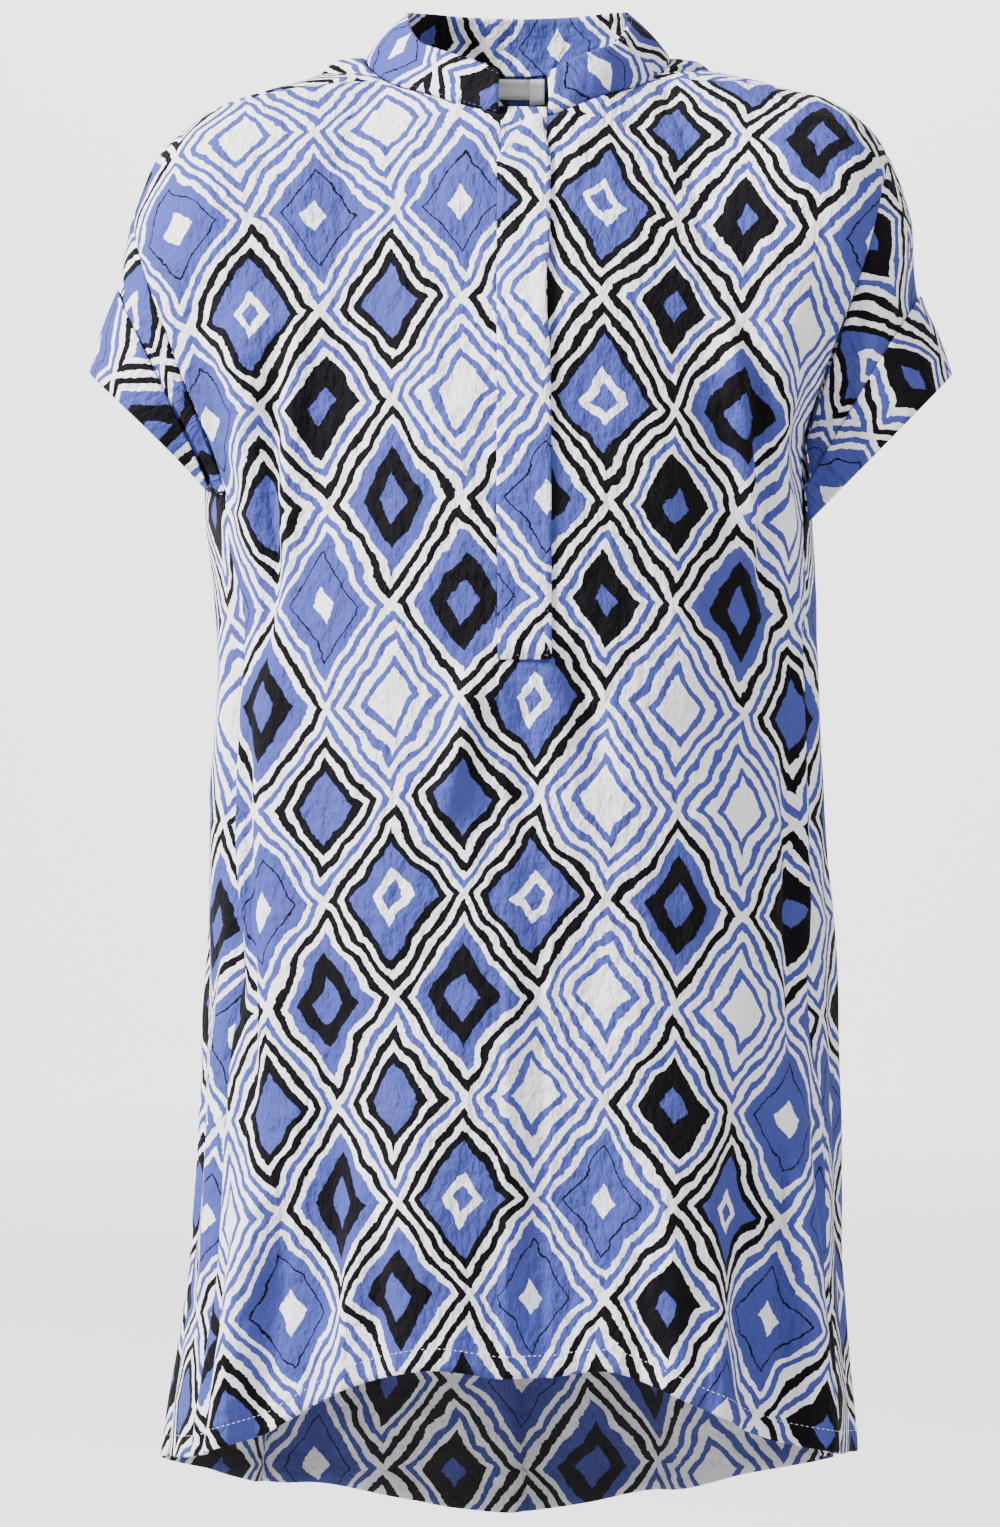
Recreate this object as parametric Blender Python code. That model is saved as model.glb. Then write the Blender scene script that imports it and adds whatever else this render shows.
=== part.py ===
"""Tunic top with a band collar, a half placket, short dropped sleeves with turned-up cuffs and a dipped hem.

The cloth keeps the hollow form that it has when it is filled out. Lengths are in metres and angles in degrees.
X runs to the wearer's left, Y to the back and Z up. The origin lies between the shoulders, at the foot of the neck.
"""

from collections import namedtuple

import bpy
import numpy as np

# Cloth
CLOTH = 0.0015
FOLDED_CLOTH = 0.0018
LABEL_CLOTH = 0.0010
SEAM_GAP = 0.0006
LONGEST_STEP = 0.15

# Grid of the panels: columns over half the neck and one shoulder, rows below and above the underarm
NECK_COLUMNS = 9
SHOULDER_COLUMNS = 8
LOW_ROWS = 18
HIGH_ROWS = 12
FINE = 721

# Body
ROUNDNESS = 2.3
CHEST_Z = -0.229
SIDE_SEAM_ANGLE = {"right": -66.0, "left": 73.0}
UNDERARM_Z = {"right": -0.232, "left": -0.226}
SIGN = {"right": -1.0, "left": 1.0}

Section = namedtuple("Section", "z right left front back")
SECTIONS = (
    Section(-0.90, 0.224, 0.201, 0.141, 0.134),
    Section(-0.81, 0.211, 0.194, 0.138, 0.127),
    Section(-0.71, 0.196, 0.187, 0.134, 0.120),
    Section(-0.60, 0.188, 0.184, 0.132, 0.115),
    Section(-0.45, 0.187, 0.179, 0.131, 0.112),
    Section(-0.31, 0.185, 0.175, 0.131, 0.112),
    Section(-0.20, 0.183, 0.171, 0.125, 0.110),
)

Hem = namedtuple("Hem", "angle right left")
HEM = (
    Hem(-13, -0.760, -0.762),
    Hem(0, -0.766, -0.766),
    Hem(13, -0.760, -0.762),
    Hem(24, -0.769, -0.777),
    Hem(34, -0.783, -0.791),
    Hem(46, -0.804, -0.804),
    Hem(58, -0.815, -0.813),
    Hem(70, -0.821, -0.819),
    Hem(88, -0.825, -0.824),
    Hem(105, -0.835, -0.832),
    Hem(124, -0.850, -0.844),
    Hem(139, -0.859, -0.853),
    Hem(150, -0.862, -0.862),
    Hem(161, -0.869, -0.868),
    Hem(171, -0.877, -0.876),
    Hem(180, -0.881, -0.881),
    Hem(189, -0.876, -0.877),
)

# Soft ridges, and troughs with a negative height, each round a line from its upper to its lower end
Fold = namedtuple("Fold", "angle_top z_top angle_low z_low width height")
FOLDS = (
    Fold(-47, -0.13, -56, -0.30, 8, 0.006),
    Fold(-59, -0.12, -64, -0.24, 6, -0.005),
    Fold(49, -0.14, 58, -0.31, 8, 0.005),
    Fold(-68, -0.27, -66, -0.60, 7, -0.008),
    Fold(-52, -0.28, -50, -0.66, 9, 0.003),
    Fold(71, -0.30, 73, -0.64, 6, -0.005),
    Fold(-33, -0.52, -38, -1.00, 9, -0.006),
    Fold(-50, -0.60, -54, -1.00, 8, 0.008),
    Fold(-17, -0.55, -16, -1.00, 8, 0.004),
    Fold(8, -0.36, 5, -1.00, 8, -0.003),
    Fold(24, -0.58, 25, -1.00, 8, 0.004),
    Fold(41, -0.56, 44, -1.00, 8, -0.006),
    Fold(58, -0.60, 60, -1.00, 8, 0.007),
    Fold(-104, -0.40, -108, -1.00, 10, 0.006),
    Fold(-128, -0.34, -126, -1.00, 10, -0.008),
    Fold(-149, -0.46, -147, -1.00, 9, 0.006),
    Fold(-172, -0.38, -168, -1.00, 10, -0.005),
    Fold(167, -0.50, 163, -1.00, 9, 0.006),
    Fold(146, -0.36, 143, -1.00, 10, -0.007),
    Fold(123, -0.44, 124, -1.00, 10, 0.007),
    Fold(101, -0.50, 103, -1.00, 9, -0.005),
    Fold(-132, -0.10, -120, -0.30, 12, 0.005),
    Fold(134, -0.11, 121, -0.31, 12, 0.005),
)
FOLD_FADE = 0.30
CALM_ANGLE = 9.0
CALM_HEIGHT = 0.035

# Neck seam and collar edge, from the front end round to the centre back
Neck = namedtuple("Neck", "x y z edge_x edge_y edge_z")
NECK = (
    Neck(0.0156, -0.0755, -0.0330, 0.0148, -0.0675, -0.0070),
    Neck(0.0340, -0.0710, -0.0265, 0.0310, -0.0620, 0.0012),
    Neck(0.0560, -0.0580, -0.0175, 0.0460, -0.0535, 0.0075),
    Neck(0.0720, -0.0420, -0.0110, 0.0580, -0.0390, 0.0140),
    Neck(0.0800, -0.0300, -0.0060, 0.0630, -0.0270, 0.0210),
    Neck(0.0920, 0.0020, 0.0100, 0.0665, 0.0040, 0.0370),
    Neck(0.0790, 0.0380, 0.0130, 0.0600, 0.0330, 0.0420),
    Neck(0.0450, 0.0600, 0.0105, 0.0350, 0.0550, 0.0425),
    Neck(0.0000, 0.0660, 0.0080, 0.0000, 0.0610, 0.0420),
)
NECK_SHOULDER_ROW = 4
NECK_LEAN = -0.003
SHOULDER_AT_NECK = NECK[NECK_SHOULDER_ROW]
COLLAR_ROWS = 4
COLLAR_BULGE = 0.0020

# Shoulder seam, forward of the shoulder's ridge, from the neck out to the armhole
Shoulder = namedtuple("Shoulder", "x y z")
SHOULDER = {
    "left": (
        Shoulder(SHOULDER_AT_NECK.x, SHOULDER_AT_NECK.y, SHOULDER_AT_NECK.z),
        Shoulder(0.115, -0.030, -0.0065),
        Shoulder(0.152, -0.029, -0.0105),
        Shoulder(0.188, -0.024, -0.0215),
        Shoulder(0.206, -0.018, -0.0350),
        Shoulder(0.217, -0.010, -0.0490),
    ),
    "right": (
        Shoulder(SHOULDER_AT_NECK.x, SHOULDER_AT_NECK.y, SHOULDER_AT_NECK.z),
        Shoulder(0.118, -0.030, -0.0085),
        Shoulder(0.160, -0.029, -0.0160),
        Shoulder(0.195, -0.024, -0.0290),
        Shoulder(0.217, -0.018, -0.0500),
        Shoulder(0.232, -0.010, -0.0860),
    ),
}

# How the columns of a panel arrive at its upper edge: across goes from the centre, 0, to the armhole, 1
Arrival = namedtuple("Arrival", "across inward lean rise")
ARRIVALS = {
    "front": (
        Arrival(0.00, 0.00, 0.42, 0.90),
        Arrival(0.15, 0.05, 0.45, 0.88),
        Arrival(0.29, 0.30, 0.50, 0.75),
        Arrival(0.43, 0.50, 0.60, 0.55),
        Arrival(0.53, 0.35, 0.80, 0.60),
        Arrival(0.68, 0.05, 0.85, 0.65),
        Arrival(1.00, 0.00, 0.85, 0.65),
    ),
    "back": (
        Arrival(0.00, 0.00, -0.45, 0.90),
        Arrival(0.20, 0.25, -0.45, 0.70),
        Arrival(0.35, 0.75, -0.45, 0.00),
        Arrival(0.53, 0.75, -0.95, -0.50),
        Arrival(0.70, 0.20, -1.25, -0.66),
        Arrival(1.00, 0.00, -1.30, -1.20),
    ),
}
ARMHOLE_REACH = 0.50

# Rings of the sleeve, from the armhole seam to the cuff's edge: each is a closed drop with a top and a low point.
# The armhole's own top and low point come from the shoulder and side seams.
Ring = namedtuple("Ring", "at top_x top_y top_z low_x low_y low_z front back bow point")
ARMHOLE_SHAPE = {"front": 0.050, "back": 0.100, "bow": 0.004, "point": 0.94}
SLEEVE_RINGS = {
    "left": (
        Ring(0.30, 0.232, -0.009, -0.088, 0.174, -0.051, -0.231, 0.046, 0.095, 0.003, 0.96),
        Ring(0.60, 0.236, -0.010, -0.135, 0.175, -0.050, -0.238, 0.042, 0.090, -0.002, 0.98),
        Ring(0.80, 0.246, -0.010, -0.158, 0.176, -0.049, -0.253, 0.041, 0.088, -0.002, 1.02),
        Ring(1.00, 0.254, -0.010, -0.181, 0.177, -0.048, -0.268, 0.040, 0.086, 0.000, 1.08),
    ),
    "right": (
        Ring(0.30, 0.239, -0.009, -0.110, 0.179, -0.057, -0.234, 0.046, 0.098, 0.003, 1.00),
        Ring(0.60, 0.241, -0.010, -0.131, 0.182, -0.054, -0.236, 0.042, 0.092, 0.000, 1.00),
        Ring(0.80, 0.250, -0.010, -0.155, 0.185, -0.052, -0.242, 0.040, 0.090, 0.000, 1.05),
        Ring(1.00, 0.257, -0.010, -0.180, 0.188, -0.050, -0.249, 0.039, 0.088, 0.000, 1.10),
    ),
}
SLEEVE_STEPS = (0.0, 0.15, 0.30, 0.45, 0.60, 0.73, 0.86, 0.975)
CUFF_STEPS = (0.60, 0.73, 0.86, 0.975, 1.0)
CUFF_GAP = 0.0013

# Placket: a slot in the front, a band behind it and a band over it
SLOT_HALF = 0.0138
SLOT_ROW = 14
BAND_HALF = 0.0150
BAND_COLUMNS = 3
BAND_ABOVE_NECK = 0.0035
BAND_BELOW_SLOT = 0.0045

# Labels, which hang in the back neck seam: left and right edge and length
MAIN_LABEL = (-0.036, 0.003, 0.014)
SIZE_LABEL = (0.0045, 0.0135, 0.016)
LABEL_DROP = 0.0010
LABEL_GAP = 0.0007

Finish = namedtuple("Finish", "colour roughness")
PRINTED_CREPE = Finish((0.41, 0.43, 0.53), 0.85)
LABEL_SATIN = Finish((0.78, 0.78, 0.78), 0.60)


def unit(vectors):
    """The vectors at length one."""
    return vectors / np.linalg.norm(vectors, axis=-1, keepdims=True)


def ease(x):
    """A soft step from 0 to 1."""
    x = np.clip(x, 0.0, 1.0)
    return x * x * (3 - 2 * x)


def read(table, key, column, at):
    """One column of a table, read smoothly between its rows, which go up in the key column."""
    x = np.array([getattr(row, key) for row in table], float)
    y = np.array([getattr(row, column) for row in table], float)
    slope = np.gradient(y, x)
    at = np.clip(at, x[0], x[-1])
    i = np.clip(np.searchsorted(x, at) - 1, 0, len(x) - 2)
    step = x[i + 1] - x[i]
    t = (at - x[i]) / step
    rising = ease(t)
    leaving = t * (1 - t) ** 2 * step
    arriving = t * t * (t - 1) * step
    return y[i] + (y[i + 1] - y[i]) * rising + slope[i] * leaving + slope[i + 1] * arriving


def smooth_curve(corners):
    """Many points of a smooth curve through the corners."""
    corners = np.array(corners, float)
    chords = np.linalg.norm(np.diff(corners, axis=0), axis=1)
    place = namedtuple("Place", "s x y z")
    rows = [place(s, *corner) for s, corner in zip(np.r_[0, np.cumsum(chords)], corners)]
    at = np.linspace(0, rows[-1].s, FINE)
    return np.stack([read(rows, "s", axis, at) for axis in "xyz"], axis=-1)


def spread(curve, steps):
    """Points at even distances along a curve, both ends included."""
    lengths = np.r_[0, np.cumsum(np.linalg.norm(np.diff(curve, axis=0), axis=1))]
    at = np.linspace(0, lengths[-1], steps + 1)
    return np.stack([np.interp(at, lengths, curve[:, axis]) for axis in range(3)], axis=-1)


def body_sizes(angle, z):
    """Half width and depth of the body on the side that the angle looks to."""
    half = np.where(angle < 0, read(SECTIONS, "z", "right", z), read(SECTIONS, "z", "left", z))
    depth = np.where(abs(angle) < 90, read(SECTIONS, "z", "front", z), read(SECTIONS, "z", "back", z))
    return half, depth


def smooth_body(angle, z):
    """A point of the body without folds. Angles go from the front centre, minus to the wearer's right."""
    half, depth = body_sizes(angle, z)
    turn = np.radians(angle)
    power = 2 / ROUNDNESS
    x = half * np.sign(angle) * abs(np.sin(turn)) ** power
    y = -depth * np.sign(np.cos(turn)) * abs(np.cos(turn)) ** power
    return np.stack(np.broadcast_arrays(x, y, z), axis=-1)


def outward(angle, z):
    """The level direction away from the body."""
    half, depth = body_sizes(angle, z)
    turn = np.radians(angle)
    x, y = np.sin(turn) / half, -np.cos(turn) / depth
    return unit(np.stack(np.broadcast_arrays(x, y, 0 * z), axis=-1))


def fold_height(angle, z):
    """How far the folds lift the cloth, which stays calm round the underarms."""
    total = np.zeros(np.broadcast(angle, z).shape)
    for fold in FOLDS:
        down = (fold.z_top - z) / (fold.z_top - fold.z_low)
        middle = fold.angle_top + (fold.angle_low - fold.angle_top) * down
        along = ease(down / FOLD_FADE) * ease((1 - down) / FOLD_FADE)
        total += fold.height * along * np.exp(-(((angle - middle) / fold.width) ** 2))
    for side, seam in SIDE_SEAM_ANGLE.items():
        near = ((angle - seam) / CALM_ANGLE) ** 2 + ((z - UNDERARM_Z[side]) / CALM_HEIGHT) ** 2
        total *= 1 - np.exp(-near)
    return total


def folded(points, angle, share):
    """The points moved out by the folds, as far as share lets them."""
    z = points[..., 2]
    return points + outward(angle, z) * (fold_height(angle, z) * share)[..., None]


def column_angles(start, end, steps):
    """Angles of columns that stand evenly round the chest from start to end."""
    fine = np.linspace(start, end, FINE)
    chest = smooth_body(fine, np.full(FINE, CHEST_Z))
    lengths = np.r_[0, np.cumsum(np.linalg.norm(np.diff(chest, axis=0), axis=1))]
    return np.interp(np.linspace(0, lengths[-1], steps + 1), lengths, fine)


def angle_of_x(x, side):
    """The angle at which the front chest lies x away from the centre."""
    fine = np.linspace(0, SIGN[side] * 45, FINE)
    return np.interp(x, abs(smooth_body(fine, np.full(FINE, CHEST_Z))[:, 0]), fine)


def sided(points, side):
    """Points given for the left side, on the side asked for."""
    return np.array(points, float) * (SIGN[side], 1, 1)


def leaning(points):
    """The points with the sides of the neck moved a little to the wearer's right, as the garment hangs."""
    shift = NECK_LEAN * ease((abs(points[:, 0]) - NECK[0].x) / NECK[0].x / 2)
    return points + shift[:, None] * (1, 0, 0)


def neck_curves(side, edge=False):
    """The front and the back half of the neck seam, or of the collar's edge, each ending at the shoulder seam."""
    columns = ("edge_x", "edge_y", "edge_z") if edge else ("x", "y", "z")
    corners = [[getattr(row, column) for column in columns] for row in NECK]
    corners.append([-corners[-2][0], *corners[-2][1:]])
    curve = smooth_curve(corners)
    shoulder = np.argmin(np.linalg.norm(curve - corners[NECK_SHOULDER_ROW], axis=1))
    centre_back = np.argmin(np.linalg.norm(curve - corners[len(NECK) - 1], axis=1))
    curve[shoulder] = corners[NECK_SHOULDER_ROW]
    curve[centre_back] = corners[len(NECK) - 1]
    front = spread(curve[: shoulder + 1], NECK_COLUMNS)
    back = spread(curve[shoulder : centre_back + 1], NECK_COLUMNS)[::-1]
    return leaning(sided(front, side)), leaning(sided(back, side))


def underarm(side):
    """The point where the side seam meets the armhole."""
    return smooth_body(np.float64(SIDE_SEAM_ANGLE[side]), np.float64(UNDERARM_Z[side]))


def sleeve_rings(side):
    """The sleeve's rings with the armhole, whose ends come from the seams, in front."""
    low, tip = underarm(side) * (SIGN[side], 1, 1), SHOULDER[side][-1]
    return (Ring(0.0, *tip, *low, **ARMHOLE_SHAPE), *SLEEVE_RINGS[side])


def ring_points(side, at, turns, half):
    """Points of the sleeve's ring at a place along it. Turns go from the low point, 0, to the top, pi."""
    rings = sleeve_rings(side)
    size = {name: read(rings, "at", name, at) for name in Ring._fields[1:]}
    up = np.sin(turns / 2) ** size["point"]
    bow = size["bow"] * np.sin(turns) ** 2
    depth = -size["front"] if half == "front" else size["back"]
    x = size["low_x"] + (size["top_x"] - size["low_x"]) * up + bow
    y = size["low_y"] + (size["top_y"] - size["low_y"]) * up + depth * np.sin(turns)
    z = size["low_z"] + (size["top_z"] - size["low_z"]) * up
    return sided(np.stack(np.broadcast_arrays(x, y, z), axis=-1), side)


def arrival(side, half, across):
    """How the columns of half a panel arrive at its upper edge."""
    table = ARRIVALS[half]
    inward, lean, rise = (read(table, "across", name, across) for name in ("inward", "lean", "rise"))
    return np.stack([-SIGN[side] * inward, lean, rise], axis=-1)


def half_panel(side, half):
    """Grid of half a panel: rows from the hem up, columns from its centre to the side seam and the armhole."""
    seam = SIDE_SEAM_ANGLE[side]
    neck = neck_curves(side)[0 if half == "front" else 1]
    columns = NECK_COLUMNS + SHOULDER_COLUMNS
    if half == "front":
        angles = column_angles(angle_of_x(NECK[0].x, side), seam, columns)
        angles = np.r_[angle_of_x(SLOT_HALF, side), angles]
        slot_top = neck[0] + (neck[0] - neck[1]) / abs(neck[0][0] - neck[1][0]) * (NECK[0].x - SLOT_HALF)
        neck = np.vstack([slot_top, neck])
    else:
        angles = column_angles(SIGN[side] * 180, seam, columns)
    corners = sided(SHOULDER[side], side)
    corners[0] = neck[-1]
    shoulder = spread(smooth_curve(corners), SHOULDER_COLUMNS)
    top = np.vstack([neck[:-1], shoulder])
    column = np.arange(len(angles)) - (half == "front")
    across = np.clip(column / columns, 0, 1)

    chest_z = CHEST_Z + (UNDERARM_Z[side] - CHEST_Z) * across
    hem_z = read(HEM, "angle", side, abs(angles))
    share = np.linspace(0, 1, LOW_ROWS + 1)[:, None]
    low_z = hem_z + (chest_z - hem_z) * share
    low = smooth_body(angles[None, :] + 0 * low_z, low_z)
    low = folded(low, angles[None, :] + 0 * low_z, np.ones_like(low_z))

    chest = smooth_body(angles, chest_z)
    step = np.full_like(chest_z, 0.001)
    leaving = unit(chest - smooth_body(angles, chest_z - step))
    arriving = arrival(side, half, across)
    reach = np.linalg.norm(top - chest, axis=1)[:, None]
    w = np.linspace(0, 1, HIGH_ROWS + 1)[:, None, None]
    high = (
        chest * (1 - ease(w))
        + top * ease(w)
        + leaving * reach * w * (1 - w) ** 2
        + arriving * reach * w * w * (w - 1)
    )
    armhole = ring_points(side, 0.0, np.linspace(0, np.pi, HIGH_ROWS + 1), half)
    armhole[0], armhole[-1] = chest[-1], top[-1]
    near_armhole = ease((across - ARMHOLE_REACH) / (1 - ARMHOLE_REACH))[None, :, None]
    high = high + (armhole - high[:, -1])[:, None, :] * near_armhole
    w = w[..., 0]
    share = ease((1 - w) / 0.25) * (1 - ease(w / 0.15) * ease((across - 0.7) / 0.3)[None, :])
    high = folded(high, angles[None, :] + 0 * high[..., 2], share)
    return np.concatenate([low[:-1], high])


def normals_of(points, closed=False):
    """Unit normals of a grid whose rows go up and whose columns go to the right, seen from outside."""
    if closed:
        across = np.roll(points, -1, axis=1) - np.roll(points, 1, axis=1)
    else:
        across = np.gradient(points, axis=1)
    return unit(np.cross(across, np.gradient(points, axis=0)))


def share_seam_normals(surfaces):
    """Points that several surfaces share get one normal, so that their edges meet like a mitre."""
    sums = {}
    for points, normals in surfaces:
        for point, normal in zip(points.reshape(-1, 3), normals.reshape(-1, 3)):
            key = tuple(np.round(point * 1e7).astype(int))
            sums[key] = sums.get(key, 0) + normal
    for points, normals in surfaces:
        for index in np.ndindex(points.shape[:2]):
            normals[index] = unit(sums[tuple(np.round(points[index] * 1e7).astype(int))])


def seam_step(edge, inner, normals, closed=False):
    """How far the points of an edge step back from a seam, along the cloth: a sleeve takes the larger half."""
    if closed:
        tangent = np.roll(edge, -1, axis=0) - np.roll(edge, 1, axis=0)
    else:
        tangent = np.gradient(edge, axis=0)
    mitre = unit(np.cross(tangent, normals))
    back = inner - edge
    half_gap = SEAM_GAP if closed else SEAM_GAP / 2
    share = half_gap / abs((back * mitre).sum(axis=-1))
    return back * np.minimum(share, LONGEST_STEP)[:, None]


def with_gaps(points, normals, edges, closed=False):
    """The grid with its named edges stepped back from their seams."""
    moved = points.copy()
    if "low" in edges:
        moved[0] += seam_step(points[0], points[1], normals[0], closed)
    if "top" in edges:
        moved[-1] += seam_step(points[-1], points[-2], normals[-1], closed)
    if "first" in edges:
        moved[:, 0] += seam_step(points[:, 0], points[:, 1], normals[:, 0])
    if "last" in edges:
        moved[:, -1] += seam_step(points[:, -1], points[:, -2], normals[:, -1])
    return moved


def material(name, finish):
    """A Principled material with the piece's colour and roughness."""
    made = bpy.data.materials.new(name)
    made.use_nodes = True
    made.diffuse_color = (*finish.colour, 1)
    shader = made.node_tree.nodes["Principled BSDF"]
    shader.inputs["Base Color"].default_value = (*finish.colour, 1)
    shader.inputs["Roughness"].default_value = finish.roughness
    shader.inputs["Metallic"].default_value = 0
    return made


def add_wall(name, skin, lining, finish, closed=False, left_out=()):
    """A piece of cloth between two grids of points. Cells that are left out stay open."""
    rows, columns = skin.shape[:2]
    count = rows * columns
    outside = []
    for row in range(rows - 1):
        for column in range(columns if closed else columns - 1):
            if (row, column) in left_out:
                continue
            a = row * columns + column
            b = row * columns + (column + 1) % columns
            outside += [(a, b, b + columns), (a, b + columns, a + columns)]
    inside = [(c + count, b + count, a + count) for a, b, c in outside]
    edges = {edge for a, b, c in outside for edge in ((a, b), (b, c), (c, a))}
    border = [(a, b) for a, b in sorted(edges) if (b, a) not in edges]
    rim = [face for a, b in border for face in ((b, a, a + count), (b, a + count, b + count))]

    mesh = bpy.data.meshes.new(name)
    vertices = np.concatenate([skin.reshape(-1, 3), lining.reshape(-1, 3)])
    mesh.from_pydata(vertices.tolist(), [], outside + inside + rim)
    mesh.shade_smooth()
    mesh.set_sharp_from_angle(angle=np.radians(50))
    mesh.materials.append(material(name, finish))
    piece = bpy.data.objects.new(name, mesh)
    bpy.data.collections[COLLECTION].objects.link(piece)
    piece.parent = bpy.data.objects[COLLECTION]
    return piece


def front_grid():
    """The front, from the wearer's right side seam to the left one, with the slot between its two middle columns."""
    return np.concatenate([half_panel("right", "front")[:, ::-1], half_panel("left", "front")], axis=1)


def back_grid():
    """The back, from the wearer's left side seam to the right one."""
    left, right = half_panel("left", "back"), half_panel("right", "back")
    return np.concatenate([left[:, ::-1], right[:, 1:]], axis=1)


def ring_grid(side, steps, armhole=None):
    """Rings of the sleeve at steps along it. The first one is the armhole's edge of the two panels, if given."""
    turns = np.linspace(0, np.pi, HIGH_ROWS + 1)
    halves = [[ring_points(side, at, turns, half) for half in ARRIVALS] for at in steps]
    if armhole:
        halves[0] = armhole
    grid = np.array([np.concatenate([front, back[-2:0:-1]]) for front, back in halves])
    return grid if side == "right" else np.roll(grid[:, ::-1], 1, axis=1)


def sleeve_grid(side, front, back):
    """The sleeve, from the edges of the two panels out to the cuff."""
    columns = {"right": (0, -1), "left": (-1, 0)}[side]
    armhole = [panel[LOW_ROWS:, column] for panel, column in zip((front, back), columns)]
    return ring_grid(side, SLEEVE_STEPS, armhole)


def collar_grid():
    """The collar, from the front end on the wearer's right round the back to the left one."""
    lower, upper = [], []
    for edge, rows in ((False, lower), (True, upper)):
        halves = {side: neck_curves(side, edge) for side in SIGN}
        right = np.concatenate([halves["right"][0], halves["right"][1][-2::-1]])
        left = np.concatenate([halves["left"][0], halves["left"][1][-2::-1]])
        rows.append(np.concatenate([right, left[-2::-1]]))
    lower, upper = lower[0], upper[0]
    up = np.linspace(0, 1, COLLAR_ROWS + 1)[:, None, None]
    grid = lower * (1 - up) + upper * up
    away = unit(lower * (1, 1, 0))
    return (grid + away * (COLLAR_BULGE * np.sin(np.pi * up)))[:, ::-1]


def band_grid(front, half_width, first_row, low_step, top_step):
    """A strip over the slot, from the front's points beside it, moved past the slot's ends by the two steps."""
    columns = front.shape[1] // 2
    right, left = front[first_row:, columns - 1], front[first_row:, columns]
    middle, reach = (left + right) / 2, (left - right) / 2
    across = np.linspace(-1, 1, BAND_COLUMNS)[None, :, None] * half_width / SLOT_HALF
    grid = middle[:, None] + reach[:, None] * across
    below, above = unit(grid[0] - grid[1]), unit(grid[-1] - grid[-2])
    grid[0] += below * low_step
    grid[-1] += above * top_step
    return grid


def label_grid(back, sizes):
    """A strip on the inside of the back, under the neck seam."""
    first, last, length = sizes
    top, under = back[-1, ::-1], back[-2, ::-1]
    x = np.linspace(first, last, BAND_COLUMNS)
    edge = np.stack([np.interp(x, top[:, 0], top[:, axis]) for axis in range(3)], axis=-1)
    lower = np.stack([np.interp(x, under[:, 0], under[:, axis]) for axis in range(3)], axis=-1)
    down = unit(lower - edge)
    return np.array([edge + down * (LABEL_DROP + length), edge + down * LABEL_DROP])[:, ::-1]


def add_pieces():
    """All pieces of the tunic."""
    front, back, collar = front_grid(), back_grid(), collar_grid()
    sleeves = {side: sleeve_grid(side, front, back) for side in SIGN}
    normals = {"front": normals_of(front), "back": normals_of(back), "collar": normals_of(collar)}
    normals |= {side: normals_of(sleeves[side], closed=True) for side in SIGN}
    share_seam_normals(
        [
            (front, normals["front"]),
            (back, normals["back"]),
            (collar, normals["collar"]),
            *((sleeves[side], normals[side]) for side in SIGN),
        ]
    )

    slot = front.shape[1] // 2 - 1
    slot_cells = {(row, slot) for row in range(SLOT_ROW, LOW_ROWS + HIGH_ROWS)}
    panel_edges = ("first", "last", "top")
    for name, grid, left_out in (("front", front, slot_cells), ("back", back, ())):
        skin = with_gaps(grid, normals[name], panel_edges)
        add_wall(name, skin, skin - normals[name] * CLOTH, PRINTED_CREPE, left_out=left_out)

    skin = with_gaps(collar, normals["collar"], ("low",))
    add_wall("collar", skin, skin - normals["collar"] * FOLDED_CLOTH, PRINTED_CREPE)

    for side, grid in sleeves.items():
        skin = with_gaps(grid, normals[side], ("low",), closed=True)
        lining = skin - normals[side] * CLOTH
        add_wall(f"sleeve_{side}", skin, lining, PRINTED_CREPE, closed=True)
        cuff = ring_grid(side, CUFF_STEPS)
        away = normals_of(cuff, closed=True)
        lining = cuff + away * CUFF_GAP
        add_wall(f"cuff_{side}", lining + away * FOLDED_CLOTH, lining, PRINTED_CREPE, closed=True)

    under = band_grid(front, SLOT_HALF - SEAM_GAP, SLOT_ROW, -SEAM_GAP, 0)
    away = normals_of(under)
    add_wall("placket_under", under, under - away * CLOTH, PRINTED_CREPE)
    upper = band_grid(front, BAND_HALF, SLOT_ROW, BAND_BELOW_SLOT, BAND_ABOVE_NECK)
    away = normals_of(upper)
    lining = upper + away * SEAM_GAP
    add_wall("placket_upper", lining + away * CLOTH, lining, PRINTED_CREPE)

    for name, sizes in (("neck_label", MAIN_LABEL), ("size_label", SIZE_LABEL)):
        grid = label_grid(back, sizes)
        away = normals_of(grid)
        skin = grid - away * (CLOTH + LABEL_GAP)
        add_wall(name, skin, skin - away * LABEL_CLOTH, LABEL_SATIN)


COLLECTION = "tunic_top"


def main():
    for leftover in list(bpy.data.objects):
        bpy.data.objects.remove(leftover, do_unlink=True)
    collection = bpy.data.collections.new(COLLECTION)
    bpy.context.scene.collection.children.link(collection)
    collection.objects.link(bpy.data.objects.new(COLLECTION, None))
    add_pieces()


main()
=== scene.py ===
"""Tunic top with a band collar, a half placket, short dropped sleeves with turned-up cuffs and a dipped hem.

Every piece of cloth is made again at full detail, on the form of its solid. Lengths are in metres and angles in
degrees. X runs to the wearer's left, Y to the back and Z up.
"""

from collections import namedtuple

import bpy
import numpy as np
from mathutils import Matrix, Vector, noise


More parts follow.
